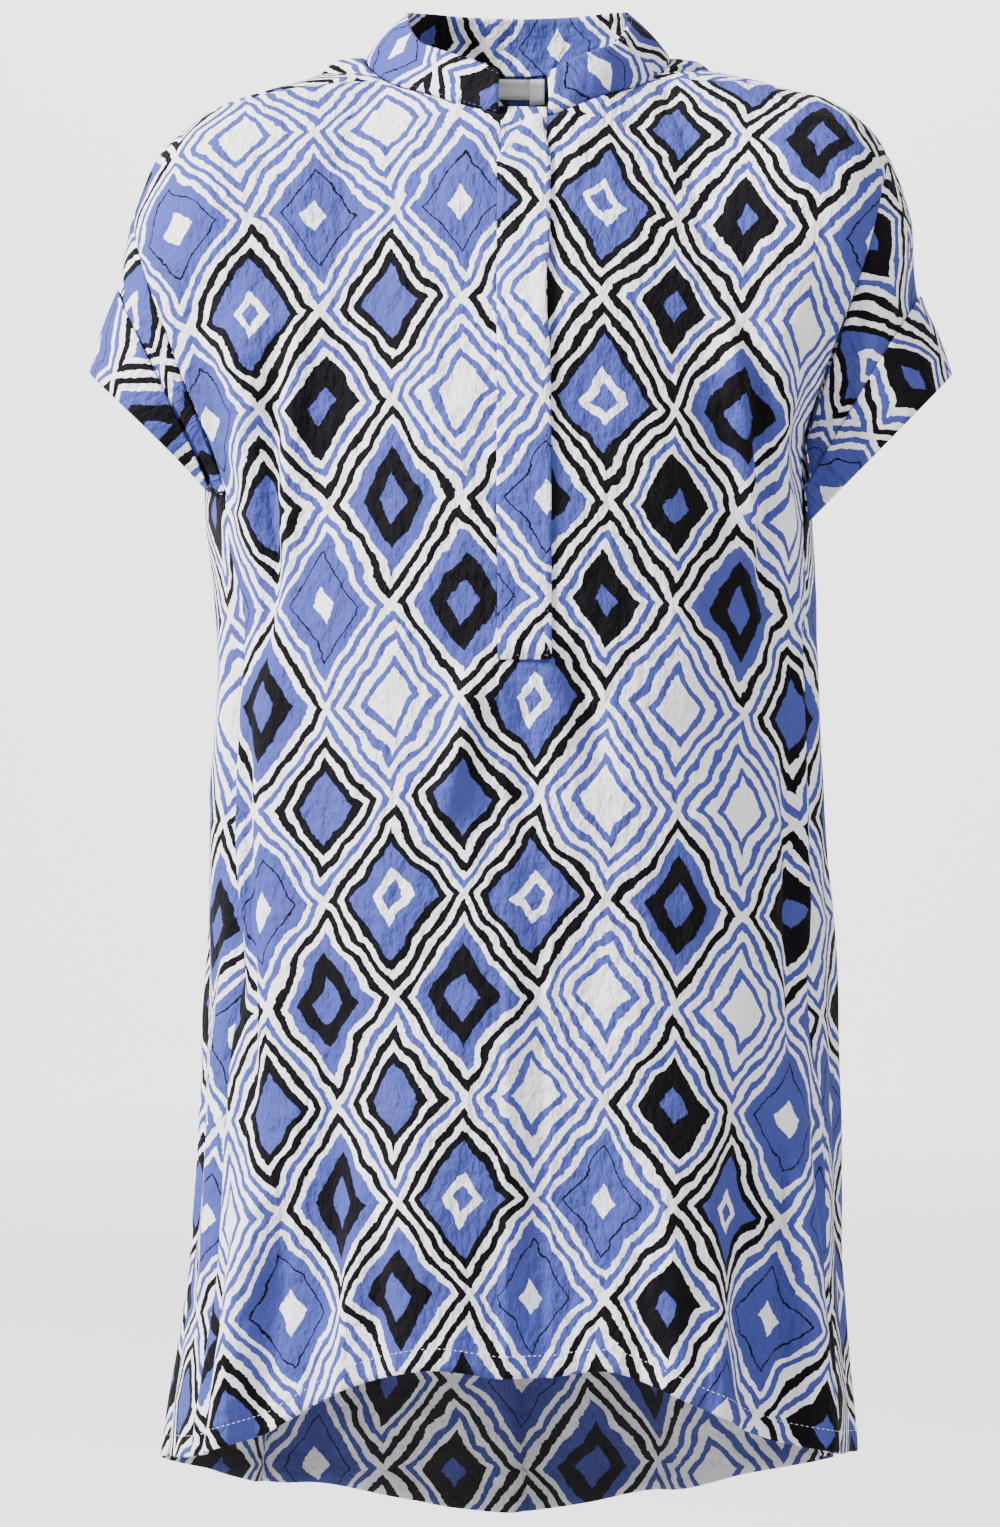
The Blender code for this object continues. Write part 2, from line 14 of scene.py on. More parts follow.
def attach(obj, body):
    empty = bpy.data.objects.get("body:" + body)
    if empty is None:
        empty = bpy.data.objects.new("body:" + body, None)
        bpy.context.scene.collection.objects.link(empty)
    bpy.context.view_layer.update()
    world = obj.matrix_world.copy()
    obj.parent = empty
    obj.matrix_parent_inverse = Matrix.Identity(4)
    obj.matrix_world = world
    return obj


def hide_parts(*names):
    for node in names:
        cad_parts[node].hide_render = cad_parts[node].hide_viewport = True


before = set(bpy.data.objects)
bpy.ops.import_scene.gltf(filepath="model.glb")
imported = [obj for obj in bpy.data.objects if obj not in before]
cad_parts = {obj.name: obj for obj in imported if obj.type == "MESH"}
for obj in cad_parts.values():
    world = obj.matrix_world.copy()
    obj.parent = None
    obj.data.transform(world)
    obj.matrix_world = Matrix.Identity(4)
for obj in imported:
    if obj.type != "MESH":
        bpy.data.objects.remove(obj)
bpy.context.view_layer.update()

# Cloth
CREPE = 0.0007
FOLDED_CREPE = 0.0016
LABEL_TAPE = 0.0002
NARROWEST_CUT = 0.010
SEAM_GAP = 0.00012
SEAM_SINK = 0.0011

# Grid of the panels: columns over half the neck and one shoulder, rows below and above the underarm
NECK_COLUMNS = 36
SHOULDER_COLUMNS = 32
MIDDLE_COLUMNS = 9
LOW_ROWS = 126
HIGH_ROWS = 60
FINE = 1441

# Body
ROUNDNESS = 2.3
CHEST_Z = -0.229
SIDE_SEAM_ANGLE = {"right": -66.0, "left": 73.0}
UNDERARM_Z = {"right": -0.255, "left": -0.226}
SIGN = {"right": -1.0, "left": 1.0}

Section = namedtuple("Section", "z right left front back")
SECTIONS = (
    Section(-0.90, 0.224, 0.201, 0.141, 0.134),
    Section(-0.81, 0.211, 0.194, 0.138, 0.127),
    Section(-0.71, 0.196, 0.187, 0.134, 0.120),
    Section(-0.60, 0.188, 0.184, 0.132, 0.115),
    Section(-0.45, 0.187, 0.179, 0.131, 0.112),
    Section(-0.31, 0.185, 0.175, 0.131, 0.112),
    Section(-0.26, 0.190, 0.173, 0.129, 0.111),
    Section(-0.20, 0.188, 0.171, 0.125, 0.110),
)

Hem = namedtuple("Hem", "angle right left")
HEM = (
    Hem(-13, -0.760, -0.762),
    Hem(0, -0.766, -0.766),
    Hem(13, -0.760, -0.762),
    Hem(24, -0.769, -0.777),
    Hem(34, -0.783, -0.791),
    Hem(46, -0.804, -0.804),
    Hem(58, -0.815, -0.813),
    Hem(70, -0.821, -0.819),
    Hem(88, -0.825, -0.824),
    Hem(105, -0.835, -0.832),
    Hem(124, -0.850, -0.844),
    Hem(139, -0.859, -0.853),
    Hem(150, -0.862, -0.862),
    Hem(161, -0.869, -0.868),
    Hem(171, -0.877, -0.876),
    Hem(180, -0.881, -0.881),
    Hem(189, -0.876, -0.877),
)

# Soft ridges, and troughs with a negative height, each round a line from its upper to its lower end
Fold = namedtuple("Fold", "angle_top z_top angle_low z_low width height")
FOLDS = (
    Fold(-47, -0.13, -56, -0.30, 8, 0.006),
    Fold(-59, -0.12, -64, -0.24, 6, -0.005),
    Fold(49, -0.14, 58, -0.31, 8, 0.005),
    Fold(-68, -0.27, -66, -0.60, 7, -0.008),
    Fold(-52, -0.28, -50, -0.66, 9, 0.003),
    Fold(71, -0.30, 73, -0.64, 6, -0.005),
    Fold(-33, -0.52, -38, -1.00, 9, -0.006),
    Fold(-50, -0.60, -54, -1.00, 8, 0.008),
    Fold(-17, -0.55, -16, -1.00, 8, 0.004),
    Fold(8, -0.36, 5, -1.00, 8, -0.003),
    Fold(24, -0.58, 25, -1.00, 8, 0.004),
    Fold(41, -0.56, 44, -1.00, 8, -0.006),
    Fold(58, -0.60, 60, -1.00, 8, 0.007),
    Fold(-104, -0.40, -108, -1.00, 10, 0.006),
    Fold(-128, -0.34, -126, -1.00, 10, -0.008),
    Fold(-149, -0.46, -147, -1.00, 9, 0.006),
    Fold(-172, -0.38, -168, -1.00, 10, -0.005),
    Fold(167, -0.50, 163, -1.00, 9, 0.006),
    Fold(146, -0.36, 143, -1.00, 10, -0.007),
    Fold(123, -0.44, 124, -1.00, 10, 0.007),
    Fold(101, -0.50, 103, -1.00, 9, -0.005),
    Fold(-132, -0.10, -120, -0.30, 12, 0.005),
    Fold(134, -0.11, 121, -0.31, 12, 0.005),
)

# Finer creases, in the same terms
CREASES = (
    Fold(-36, -0.13, -46, -0.33, 3.4, 0.0040),
    Fold(-41, -0.15, -54, -0.38, 2.8, -0.0042),
    Fold(38, -0.13, 49, -0.31, 3.4, 0.0038),
    Fold(44, -0.15, 55, -0.36, 2.8, -0.0042),
    Fold(-6, -0.345, -12, -0.46, 2.6, 0.0040),
    Fold(6, -0.335, 13, -0.43, 2.6, -0.0034),
    Fold(0, -0.355, 1, -0.46, 2.6, -0.0018),
    Fold(-62, -0.30, -57, -0.56, 2.8, 0.0044),
    Fold(-56, -0.36, -55, -0.64, 2.4, -0.0030),
    Fold(-71, -0.42, -72, -0.78, 2.8, 0.0030),
    Fold(64, -0.29, 62, -0.58, 2.8, 0.0040),
    Fold(58, -0.38, 57, -0.62, 2.4, -0.0028),
    Fold(-27, -0.58, -31, -1.00, 3.4, 0.0046),
    Fold(-21, -0.64, -23, -1.00, 3.0, -0.0036),
    Fold(-44, -0.62, -47, -1.00, 3.0, -0.0044),
    Fold(-58, -0.66, -61, -1.00, 3.0, -0.0036),
    Fold(32, -0.60, 35, -1.00, 3.4, 0.0042),
    Fold(50, -0.58, 53, -1.00, 3.0, -0.0046),
    Fold(66, -0.56, 67, -1.00, 3.0, -0.0034),
    Fold(18, -0.64, 17, -1.00, 3.0, -0.0028),
    Fold(-118, -0.20, -113, -0.46, 3.4, 0.0044),
    Fold(116, -0.18, 112, -0.44, 3.4, 0.0042),
    Fold(-108, -0.26, -106, -0.50, 2.8, -0.0036),
    Fold(106, -0.24, 103, -0.52, 2.8, -0.0036),
    Fold(-155, -0.24, -158, -0.52, 3.8, -0.0034),
    Fold(152, -0.26, 157, -0.50, 3.8, 0.0034),
    Fold(-138, -0.56, -136, -1.00, 3.6, 0.0046),
    Fold(-162, -0.60, -160, -1.00, 3.4, -0.0036),
    Fold(178, -0.54, 176, -1.00, 3.8, 0.0040),
    Fold(154, -0.62, 153, -1.00, 3.4, -0.0040),
    Fold(133, -0.58, 134, -1.00, 3.4, -0.0042),
    Fold(-115, -0.62, -117, -1.00, 3.2, -0.0040),
    Fold(112, -0.60, 114, -1.00, 3.2, 0.0040),
    Fold(-94, -0.44, -97, -1.00, 3.4, -0.0042),
    Fold(90, -0.38, 92, -1.00, 3.4, 0.0042),
)
FOLD_SWELL = 2.1
CREASE_SWELL = 1.9
FOLD_FADE = 0.30
CALM_ANGLE = 9.0
CALM_HEIGHT = 0.035

# Neck seam and collar edge, from the front end round to the centre back
Neck = namedtuple("Neck", "x y z edge_x edge_y edge_z")
NECK = (
    Neck(0.0156, -0.0755, -0.0330, 0.0148, -0.0675, -0.0070),
    Neck(0.0340, -0.0710, -0.0265, 0.0310, -0.0620, 0.0012),
    Neck(0.0560, -0.0580, -0.0175, 0.0460, -0.0535, 0.0075),
    Neck(0.0720, -0.0420, -0.0110, 0.0580, -0.0390, 0.0140),
    Neck(0.0800, -0.0300, -0.0060, 0.0630, -0.0270, 0.0210),
    Neck(0.0920, 0.0020, 0.0100, 0.0665, 0.0040, 0.0370),
    Neck(0.0790, 0.0380, 0.0130, 0.0600, 0.0330, 0.0420),
    Neck(0.0450, 0.0600, 0.0105, 0.0350, 0.0550, 0.0425),
    Neck(0.0000, 0.0660, 0.0080, 0.0000, 0.0610, 0.0420),
)
NECK_SHOULDER_ROW = 4
NECK_LEAN = -0.003
SHOULDER_AT_NECK = NECK[NECK_SHOULDER_ROW]
COLLAR_ROWS = 14
COLLAR_BULGE = 0.0020

# Shoulder seam, forward of the shoulder's ridge, from the neck out to the armhole
Shoulder = namedtuple("Shoulder", "x y z")
SHOULDER = {
    "left": (
        Shoulder(SHOULDER_AT_NECK.x, SHOULDER_AT_NECK.y, SHOULDER_AT_NECK.z),
        Shoulder(0.115, -0.030, -0.0065),
        Shoulder(0.152, -0.029, -0.0105),
        Shoulder(0.188, -0.024, -0.0215),
        Shoulder(0.206, -0.018, -0.0350),
        Shoulder(0.217, -0.010, -0.0490),
    ),
    "right": (
        Shoulder(SHOULDER_AT_NECK.x, SHOULDER_AT_NECK.y, SHOULDER_AT_NECK.z),
        Shoulder(0.118, -0.030, -0.0085),
        Shoulder(0.160, -0.029, -0.0160),
        Shoulder(0.195, -0.024, -0.0290),
        Shoulder(0.217, -0.018, -0.0500),
        Shoulder(0.232, -0.010, -0.0860),
    ),
}

# How the columns of a panel arrive at its upper edge: across goes from the centre, 0, to the armhole, 1
Arrival = namedtuple("Arrival", "across inward lean rise")
ARRIVALS = {
    "front": (
        Arrival(0.00, 0.00, 0.42, 0.90),
        Arrival(0.15, 0.05, 0.45, 0.88),
        Arrival(0.29, 0.30, 0.50, 0.75),
        Arrival(0.43, 0.50, 0.60, 0.55),
        Arrival(0.53, 0.35, 0.80, 0.60),
        Arrival(0.68, 0.05, 0.85, 0.65),
        Arrival(1.00, 0.00, 0.85, 0.65),
    ),
    "back": (
        Arrival(0.00, 0.00, -0.45, 0.90),
        Arrival(0.20, 0.25, -0.45, 0.70),
        Arrival(0.35, 0.75, -0.45, 0.00),
        Arrival(0.53, 0.75, -0.95, -0.50),
        Arrival(0.70, 0.20, -1.25, -0.66),
        Arrival(1.00, 0.00, -1.30, -1.20),
    ),
}
ARMHOLE_REACH = 0.50

# Rings of the sleeve, from the armhole seam to the cuff's edge: each is a closed drop with a top and a low point.
# The armhole's own top and low point come from the shoulder and side seams.
Ring = namedtuple("Ring", "at top_x top_y top_z low_x low_y low_z front back bow point")
ARMHOLE_SHAPE = {"front": 0.050, "back": 0.100, "bow": 0.004, "point": 0.94}
SLEEVE_RINGS = {
    "left": (
        Ring(0.30, 0.232, -0.009, -0.088, 0.1670, -0.049, -0.240, 0.046, 0.095, 0.003, 0.96),
        Ring(0.60, 0.236, -0.010, -0.135, 0.1675, -0.050, -0.250, 0.042, 0.090, -0.002, 0.98),
        Ring(0.80, 0.246, -0.010, -0.158, 0.1685, -0.049, -0.260, 0.041, 0.088, -0.002, 1.02),
        Ring(1.00, 0.254, -0.010, -0.181, 0.1695, -0.048, -0.269, 0.040, 0.086, 0.000, 1.08),
    ),
    "right": (
        Ring(0.30, 0.239, -0.009, -0.110, 0.180, -0.055, -0.255, 0.046, 0.098, 0.003, 1.00),
        Ring(0.60, 0.241, -0.010, -0.131, 0.184, -0.053, -0.252, 0.042, 0.092, 0.000, 1.00),
        Ring(0.80, 0.250, -0.010, -0.155, 0.187, -0.051, -0.249, 0.040, 0.090, 0.000, 1.05),
        Ring(1.00, 0.257, -0.010, -0.180, 0.190, -0.049, -0.246, 0.039, 0.088, 0.000, 1.10),
    ),
}
SLEEVE_STEPS = np.linspace(0, 0.975, 34)
CUFF_STEPS = np.linspace(0.60, 1.0, 14)
CUFF_GAP = 0.0008

# Placket: a slot in the front, a band behind it and a band over it
SLOT_HALF = 0.0138
SLOT_ROW = round(LOW_ROWS * 14 / 18)
BAND_HALF = 0.0150
BAND_COLUMNS = 13
BAND_GAP = 0.0004
BAND_ABOVE_NECK = 0.0005
UNDER_BAND_ABOVE_NECK = 0.0090
BAND_BELOW_SLOT = 0.0045

# Labels, which hang in the back neck seam: left and right edge and length
MAIN_LABEL = (-0.036, 0.0040, 0.0135)
SIZE_LABEL = (0.0045, 0.0135, 0.0170)
LABEL_DROP = 0.0010
LABEL_GAP = 0.0005
LABEL_COLUMNS = 13

# Ripples of the cloth: size up and down, size across, height
RIPPLES = ((0.085, 0.034, 0.0021), (0.030, 0.013, 0.00060))

# Sewing
STITCH_PITCH = 0.0032
STITCH_LENGTH = 0.0024
THREAD_RADIUS = 0.00028
EDGE_THREAD_RADIUS = 0.00018
EDGE_STITCH = 0.0018
HEM_DEPTH = 0.012

# Print: lozenges of woven-cloth width and height
LOZENGE_WIDTH = 0.084
LOZENGE_HEIGHT = 0.116

CAMERA_AT = (-0.0138, -3.0, -0.413)
CAMERA_LENS = 117.9
FLOOR_Z = -1.02


def unit(vectors):
    """The vectors at length one."""
    return vectors / np.linalg.norm(vectors, axis=-1, keepdims=True)


def ease(x):
    """A soft step from 0 to 1."""
    x = np.clip(x, 0.0, 1.0)
    return x * x * (3 - 2 * x)


def read(table, key, column, at):
    """One column of a table, read smoothly between its rows, which go up in the key column."""
    x = np.array([getattr(row, key) for row in table], float)
    y = np.array([getattr(row, column) for row in table], float)
    slope = np.gradient(y, x)
    at = np.clip(at, x[0], x[-1])
    i = np.clip(np.searchsorted(x, at) - 1, 0, len(x) - 2)
    step = x[i + 1] - x[i]
    t = (at - x[i]) / step
    rising = ease(t)
    leaving = t * (1 - t) ** 2 * step
    arriving = t * t * (t - 1) * step
    return y[i] + (y[i + 1] - y[i]) * rising + slope[i] * leaving + slope[i + 1] * arriving


def smooth_curve(corners):
    """Many points of a smooth curve through the corners."""
    corners = np.array(corners, float)
    chords = np.linalg.norm(np.diff(corners, axis=0), axis=1)
    place = namedtuple("Place", "s x y z")
    rows = [place(s, *corner) for s, corner in zip(np.r_[0, np.cumsum(chords)], corners)]
    at = np.linspace(0, rows[-1].s, FINE)
    return np.stack([read(rows, "s", axis, at) for axis in "xyz"], axis=-1)


def spread(curve, steps):
    """Points at even distances along a curve, both ends included."""
    lengths = np.r_[0, np.cumsum(np.linalg.norm(np.diff(curve, axis=0), axis=1))]
    at = np.linspace(0, lengths[-1], steps + 1)
    return np.stack([np.interp(at, lengths, curve[:, axis]) for axis in range(3)], axis=-1)


def body_sizes(angle, z):
    """Half width and depth of the body on the side that the angle looks to."""
    half = np.where(angle < 0, read(SECTIONS, "z", "right", z), read(SECTIONS, "z", "left", z))
    depth = np.where(abs(angle) < 90, read(SECTIONS, "z", "front", z), read(SECTIONS, "z", "back", z))
    return half, depth


def smooth_body(angle, z):
    """A point of the body without folds. Angles go from the front centre, minus to the wearer's right."""
    half, depth = body_sizes(angle, z)
    turn = np.radians(angle)
    power = 2 / ROUNDNESS
    x = half * np.sign(angle) * abs(np.sin(turn)) ** power
    y = -depth * np.sign(np.cos(turn)) * abs(np.cos(turn)) ** power
    return np.stack(np.broadcast_arrays(x, y, z), axis=-1)


def outward(angle, z):
    """The level direction away from the body."""
    half, depth = body_sizes(angle, z)
    turn = np.radians(angle)
    x, y = np.sin(turn) / half, -np.cos(turn) / depth
    return unit(np.stack(np.broadcast_arrays(x, y, 0 * z), axis=-1))


def fold_height(angle, z):
    """How far the folds lift the cloth, which stays calm round the underarms."""
    total = np.zeros(np.broadcast(angle, z).shape)
    swells = [FOLD_SWELL] * len(FOLDS) + [CREASE_SWELL] * len(CREASES)
    for fold, swell in zip(FOLDS + CREASES, swells):
        down = (fold.z_top - z) / (fold.z_top - fold.z_low)
        middle = fold.angle_top + (fold.angle_low - fold.angle_top) * down
        along = ease(down / FOLD_FADE) * ease((1 - down) / FOLD_FADE)
        total += fold.height * swell * along * np.exp(-(((angle - middle) / fold.width) ** 2))
    for side, seam in SIDE_SEAM_ANGLE.items():
        near = ((angle - seam) / CALM_ANGLE) ** 2 + ((z - UNDERARM_Z[side]) / CALM_HEIGHT) ** 2
        total *= 1 - np.exp(-near)
    return total


def folded(points, angle, share):
    """The points moved out by the folds, as far as share lets them."""
    z = points[..., 2]
    return points + outward(angle, z) * (fold_height(angle, z) * share)[..., None]


def column_angles(start, end, steps):
    """Angles of columns that stand evenly round the chest from start to end."""
    fine = np.linspace(start, end, FINE)
    chest = smooth_body(fine, np.full(FINE, CHEST_Z))
    lengths = np.r_[0, np.cumsum(np.linalg.norm(np.diff(chest, axis=0), axis=1))]
    return np.interp(np.linspace(0, lengths[-1], steps + 1), lengths, fine)


def angle_of_x(x, side):
    """The angle at which the front chest lies x away from the centre."""
    fine = np.linspace(0, SIGN[side] * 45, FINE)
    return np.interp(x, abs(smooth_body(fine, np.full(FINE, CHEST_Z))[:, 0]), fine)


def sided(points, side):
    """Points given for the left side, on the side asked for."""
    return np.array(points, float) * (SIGN[side], 1, 1)


def leaning(points):
    """The points with the sides of the neck moved a little to the wearer's right, as the garment hangs."""
    shift = NECK_LEAN * ease((abs(points[:, 0]) - NECK[0].x) / NECK[0].x / 2)
    return points + shift[:, None] * (1, 0, 0)


def neck_curves(side, edge=False):
    """The front and the back half of the neck seam, or of the collar's edge, each ending at the shoulder seam."""
    columns = ("edge_x", "edge_y", "edge_z") if edge else ("x", "y", "z")
    corners = [[getattr(row, column) for column in columns] for row in NECK]
    corners.append([-corners[-2][0], *corners[-2][1:]])
    curve = smooth_curve(corners)
    shoulder = np.argmin(np.linalg.norm(curve - corners[NECK_SHOULDER_ROW], axis=1))
    centre_back = np.argmin(np.linalg.norm(curve - corners[len(NECK) - 1], axis=1))
    curve[shoulder] = corners[NECK_SHOULDER_ROW]
    curve[centre_back] = corners[len(NECK) - 1]
    front = spread(curve[: shoulder + 1], NECK_COLUMNS)
    back = spread(curve[shoulder : centre_back + 1], NECK_COLUMNS)[::-1]
    return leaning(sided(front, side)), leaning(sided(back, side))


def underarm(side):
    """The point where the side seam meets the armhole."""
    return smooth_body(np.float64(SIDE_SEAM_ANGLE[side]), np.float64(UNDERARM_Z[side]))


def sleeve_rings(side):
    """The sleeve's rings with the armhole, whose ends come from the seams, in front."""
    low, tip = underarm(side) * (SIGN[side], 1, 1), SHOULDER[side][-1]
    return (Ring(0.0, *tip, *low, **ARMHOLE_SHAPE), *SLEEVE_RINGS[side])


def ring_points(side, at, turns, half):
    """Points of the sleeve's ring at a place along it. Turns go from the low point, 0, to the top, pi."""
    rings = sleeve_rings(side)
    size = {name: read(rings, "at", name, at) for name in Ring._fields[1:]}
    up = np.sin(turns / 2) ** size["point"]
    bow = size["bow"] * np.sin(turns) ** 2
    depth = -size["front"] if half == "front" else size["back"]
    x = size["low_x"] + (size["top_x"] - size["low_x"]) * up + bow
    y = size["low_y"] + (size["top_y"] - size["low_y"]) * up + depth * np.sin(turns)
    z = size["low_z"] + (size["top_z"] - size["low_z"]) * up
    return sided(np.stack(np.broadcast_arrays(x, y, z), axis=-1), side)


def arrival(side, half, across):
    """How the columns of half a panel arrive at its upper edge."""
    table = ARRIVALS[half]
    inward, lean, rise = (read(table, "across", name, across) for name in ("inward", "lean", "rise"))
    return np.stack([-SIGN[side] * inward, lean, rise], axis=-1)


def half_panel(side, half):
    """Grid of half a panel: rows from the hem up, columns from its centre to the side seam and the armhole."""
    seam = SIDE_SEAM_ANGLE[side]
    neck = neck_curves(side)[0 if half == "front" else 1]
    columns = NECK_COLUMNS + SHOULDER_COLUMNS
    if half == "front":
        angles = column_angles(angle_of_x(NECK[0].x, side), seam, columns)
        angles = np.r_[angle_of_x(SLOT_HALF, side), angles]
        slot_top = neck[0] + (neck[0] - neck[1]) / abs(neck[0][0] - neck[1][0]) * (NECK[0].x - SLOT_HALF)
        neck = np.vstack([slot_top, neck])
    else:
        angles = column_angles(SIGN[side] * 180, seam, columns)
    corners = sided(SHOULDER[side], side)
    corners[0] = neck[-1]
    shoulder = spread(smooth_curve(corners), SHOULDER_COLUMNS)
    top = np.vstack([neck[:-1], shoulder])
    column = np.arange(len(angles)) - (half == "front")
    across = np.clip(column / columns, 0, 1)

    chest_z = CHEST_Z + (UNDERARM_Z[side] - CHEST_Z) * across
    hem_z = read(HEM, "angle", side, abs(angles))
    share = np.linspace(0, 1, LOW_ROWS + 1)[:, None]
    low_z = hem_z + (chest_z - hem_z) * share
    low = smooth_body(angles[None, :] + 0 * low_z, low_z)
    low = folded(low, angles[None, :] + 0 * low_z, np.ones_like(low_z))

    chest = smooth_body(angles, chest_z)
    step = np.full_like(chest_z, 0.001)
    leaving = unit(chest - smooth_body(angles, chest_z - step))
    arriving = arrival(side, half, across)
    reach = np.linalg.norm(top - chest, axis=1)[:, None]
    w = np.linspace(0, 1, HIGH_ROWS + 1)[:, None, None]
    high = (
        chest * (1 - ease(w))
        + top * ease(w)
        + leaving * reach * w * (1 - w) ** 2
        + arriving * reach * w * w * (w - 1)
    )
    armhole = ring_points(side, 0.0, np.linspace(0, np.pi, HIGH_ROWS + 1), half)
    armhole[0], armhole[-1] = chest[-1], top[-1]
    near_armhole = ease((across - ARMHOLE_REACH) / (1 - ARMHOLE_REACH))[None, :, None]
    high = high + (armhole - high[:, -1])[:, None, :] * near_armhole
    w = w[..., 0]
    share = ease((1 - w) / 0.25) * (1 - ease(w / 0.15) * ease((across - 0.7) / 0.3)[None, :])
    high = folded(high, angles[None, :] + 0 * high[..., 2], share)
    return np.concatenate([low[:-1], high])


def front_grid():
    """The front, from the wearer's right side seam to the left one."""
    right, left = half_panel("right", "front"), half_panel("left", "front")
    across = np.linspace(0, 1, MIDDLE_COLUMNS + 2)[None, 1:-1, None]
    middle = right[:, :1] * (1 - across) + left[:, :1] * across
    angles = np.degrees(np.arcsin(middle[: LOW_ROWS + 1, :, 0] / body_sizes(0.0, CHEST_Z)[0]))
    low = middle[: LOW_ROWS + 1]
    edge = (fold_height(angles[:, :1], low[:, :1, 2]) + fold_height(angles[:, -1:], low[:, -1:, 2])) / 2
    lift = fold_height(angles, low[..., 2]) - edge
    middle[: LOW_ROWS + 1, :, 1] -= lift
    return np.concatenate([right[:, ::-1], middle, left], axis=1)


def back_grid():
    """The back, from the wearer's left side seam to the right one."""
    left, right = half_panel("left", "back"), half_panel("right", "back")
    return np.concatenate([left[:, ::-1], right[:, 1:]], axis=1)


def ring_grid(side, steps, armhole=None):
    """Rings of the sleeve at steps along it, open at the underarm. The first one may be the armhole's edge."""
    turns = np.linspace(0, np.pi, HIGH_ROWS + 1)
    halves = [[ring_points(side, at, turns, half) for half in ARRIVALS] for at in steps]
    if armhole:
        halves[0] = armhole
    grid = np.array([np.concatenate([front, back[-2::-1]]) for front, back in halves])
    return grid if side == "right" else grid[:, ::-1]


def sleeve_grid(side, front, back):
    """The sleeve, from the edges of the two panels out to the cuff."""
    columns = {"right": (0, -1), "left": (-1, 0)}[side]
    armhole = [panel[LOW_ROWS:, column] for panel, column in zip((front, back), columns)]
    return ring_grid(side, SLEEVE_STEPS, armhole)


def collar_grid():
    """The collar, from the front end on the wearer's right round the back to the left one."""
    edges = []
    for edge in (False, True):
        halves = {side: neck_curves(side, edge) for side in SIGN}
        right = np.concatenate([halves["right"][0], halves["right"][1][-2::-1]])
        left = np.concatenate([halves["left"][0], halves["left"][1][-2::-1]])
        edges.append(np.concatenate([right, left[-2::-1]]))
    lower, upper = edges
    up = np.linspace(0, 1, COLLAR_ROWS + 1)[:, None, None]
    grid = lower * (1 - up) + upper * up
    away = unit(lower * (1, 1, 0))
    return (grid + away * (COLLAR_BULGE * np.sin(np.pi * up)))[:, ::-1]


def band_grid(front, half_width, first_row, low_step, top_step):
    """A strip over the slot, from the front's points beside it, moved past the slot's ends by the two steps."""
    first = NECK_COLUMNS + SHOULDER_COLUMNS + 1
    right, left = front[first_row:, first], front[first_row:, first + MIDDLE_COLUMNS + 1]
    middle, reach = (left + right) / 2, (left - right) / 2
    across = np.linspace(-1, 1, BAND_COLUMNS)[None, :, None] * half_width / SLOT_HALF
    grid = middle[:, None] + reach[:, None] * across
    below, above = unit(grid[0] - grid[1]), unit(grid[-1] - grid[-2])
    grid[0] += below * low_step
    grid[-1] += above * top_step
    return grid


def hang_band(grid):
    """The upper band as it hangs: its loose edge gapes in two places and stands off, and its top end slopes."""
    loose = ease((np.linspace(-1, 1, BAND_COLUMNS) + 1) / 2)[None, :]
    z = grid[:, :1, 2]
    away = normals_of(grid)
    gape = 0.0045 * ease((z + 0.062) / 0.025) + 0.0028 * np.exp(-(((z + 0.140) / 0.028) ** 2))
    drop = 0.0115 * ease((z + 0.075) / 0.045)
    lift = 0.0006 + 0.0016 * np.exp(-(((z + 0.150) / 0.060) ** 2))
    hung = grid + away * (lift * loose)[..., None]
    hung[..., 0] -= gape * loose
    hung[..., 2] -= drop * (1 - loose)
    return hung


def label_grid(back, sizes):
    """A strip on the inside of the back, under the neck seam."""
    first, last, length = sizes
    x = np.linspace(first, last, LABEL_COLUMNS)
    rows = []
    for row in back[:-9:-1]:
        rows.append(np.stack([np.interp(x, row[::-1, 0], row[::-1, axis]) for axis in range(3)], axis=-1))
    rows = np.array(rows)
    lengths = np.r_[0, np.cumsum(np.linalg.norm(np.diff(rows, axis=0), axis=-1).mean(axis=1))]
    at = np.linspace(LABEL_DROP + length, LABEL_DROP, 5)
    flat = rows.reshape(len(rows), -1)
    grid = np.stack([np.interp(at, lengths, flat[:, i]) for i in range(flat.shape[1])], axis=-1)
    return grid.reshape(5, LABEL_COLUMNS, 3)[:, ::-1]


def normals_of(points):
    """Unit normals of a grid whose rows go up and whose columns go to the right, seen from outside."""
    return unit(np.cross(np.gradient(points, axis=1), np.gradient(points, axis=0)))


def ripple(points):
    """How far small uneven ripples lift the cloth at each point."""
    total = np.zeros(points.shape[:-1])
    for index in np.ndindex(total.shape):
        x, y, z = points[index]
        for high, wide, height in RIPPLES:
            total[index] += height * noise.noise(Vector((x / wide, y / wide, z / high)))
    return total


def arc(points, axis):
    """Lengths along a grid's rows or columns from its first points."""
    lengths = np.linalg.norm(np.diff(points, axis=axis), axis=-1)
    lengths = np.cumsum(lengths, axis=axis)
    first = np.zeros_like(np.take(lengths, [0], axis=axis))
    return np.concatenate([first, lengths], axis=axis)


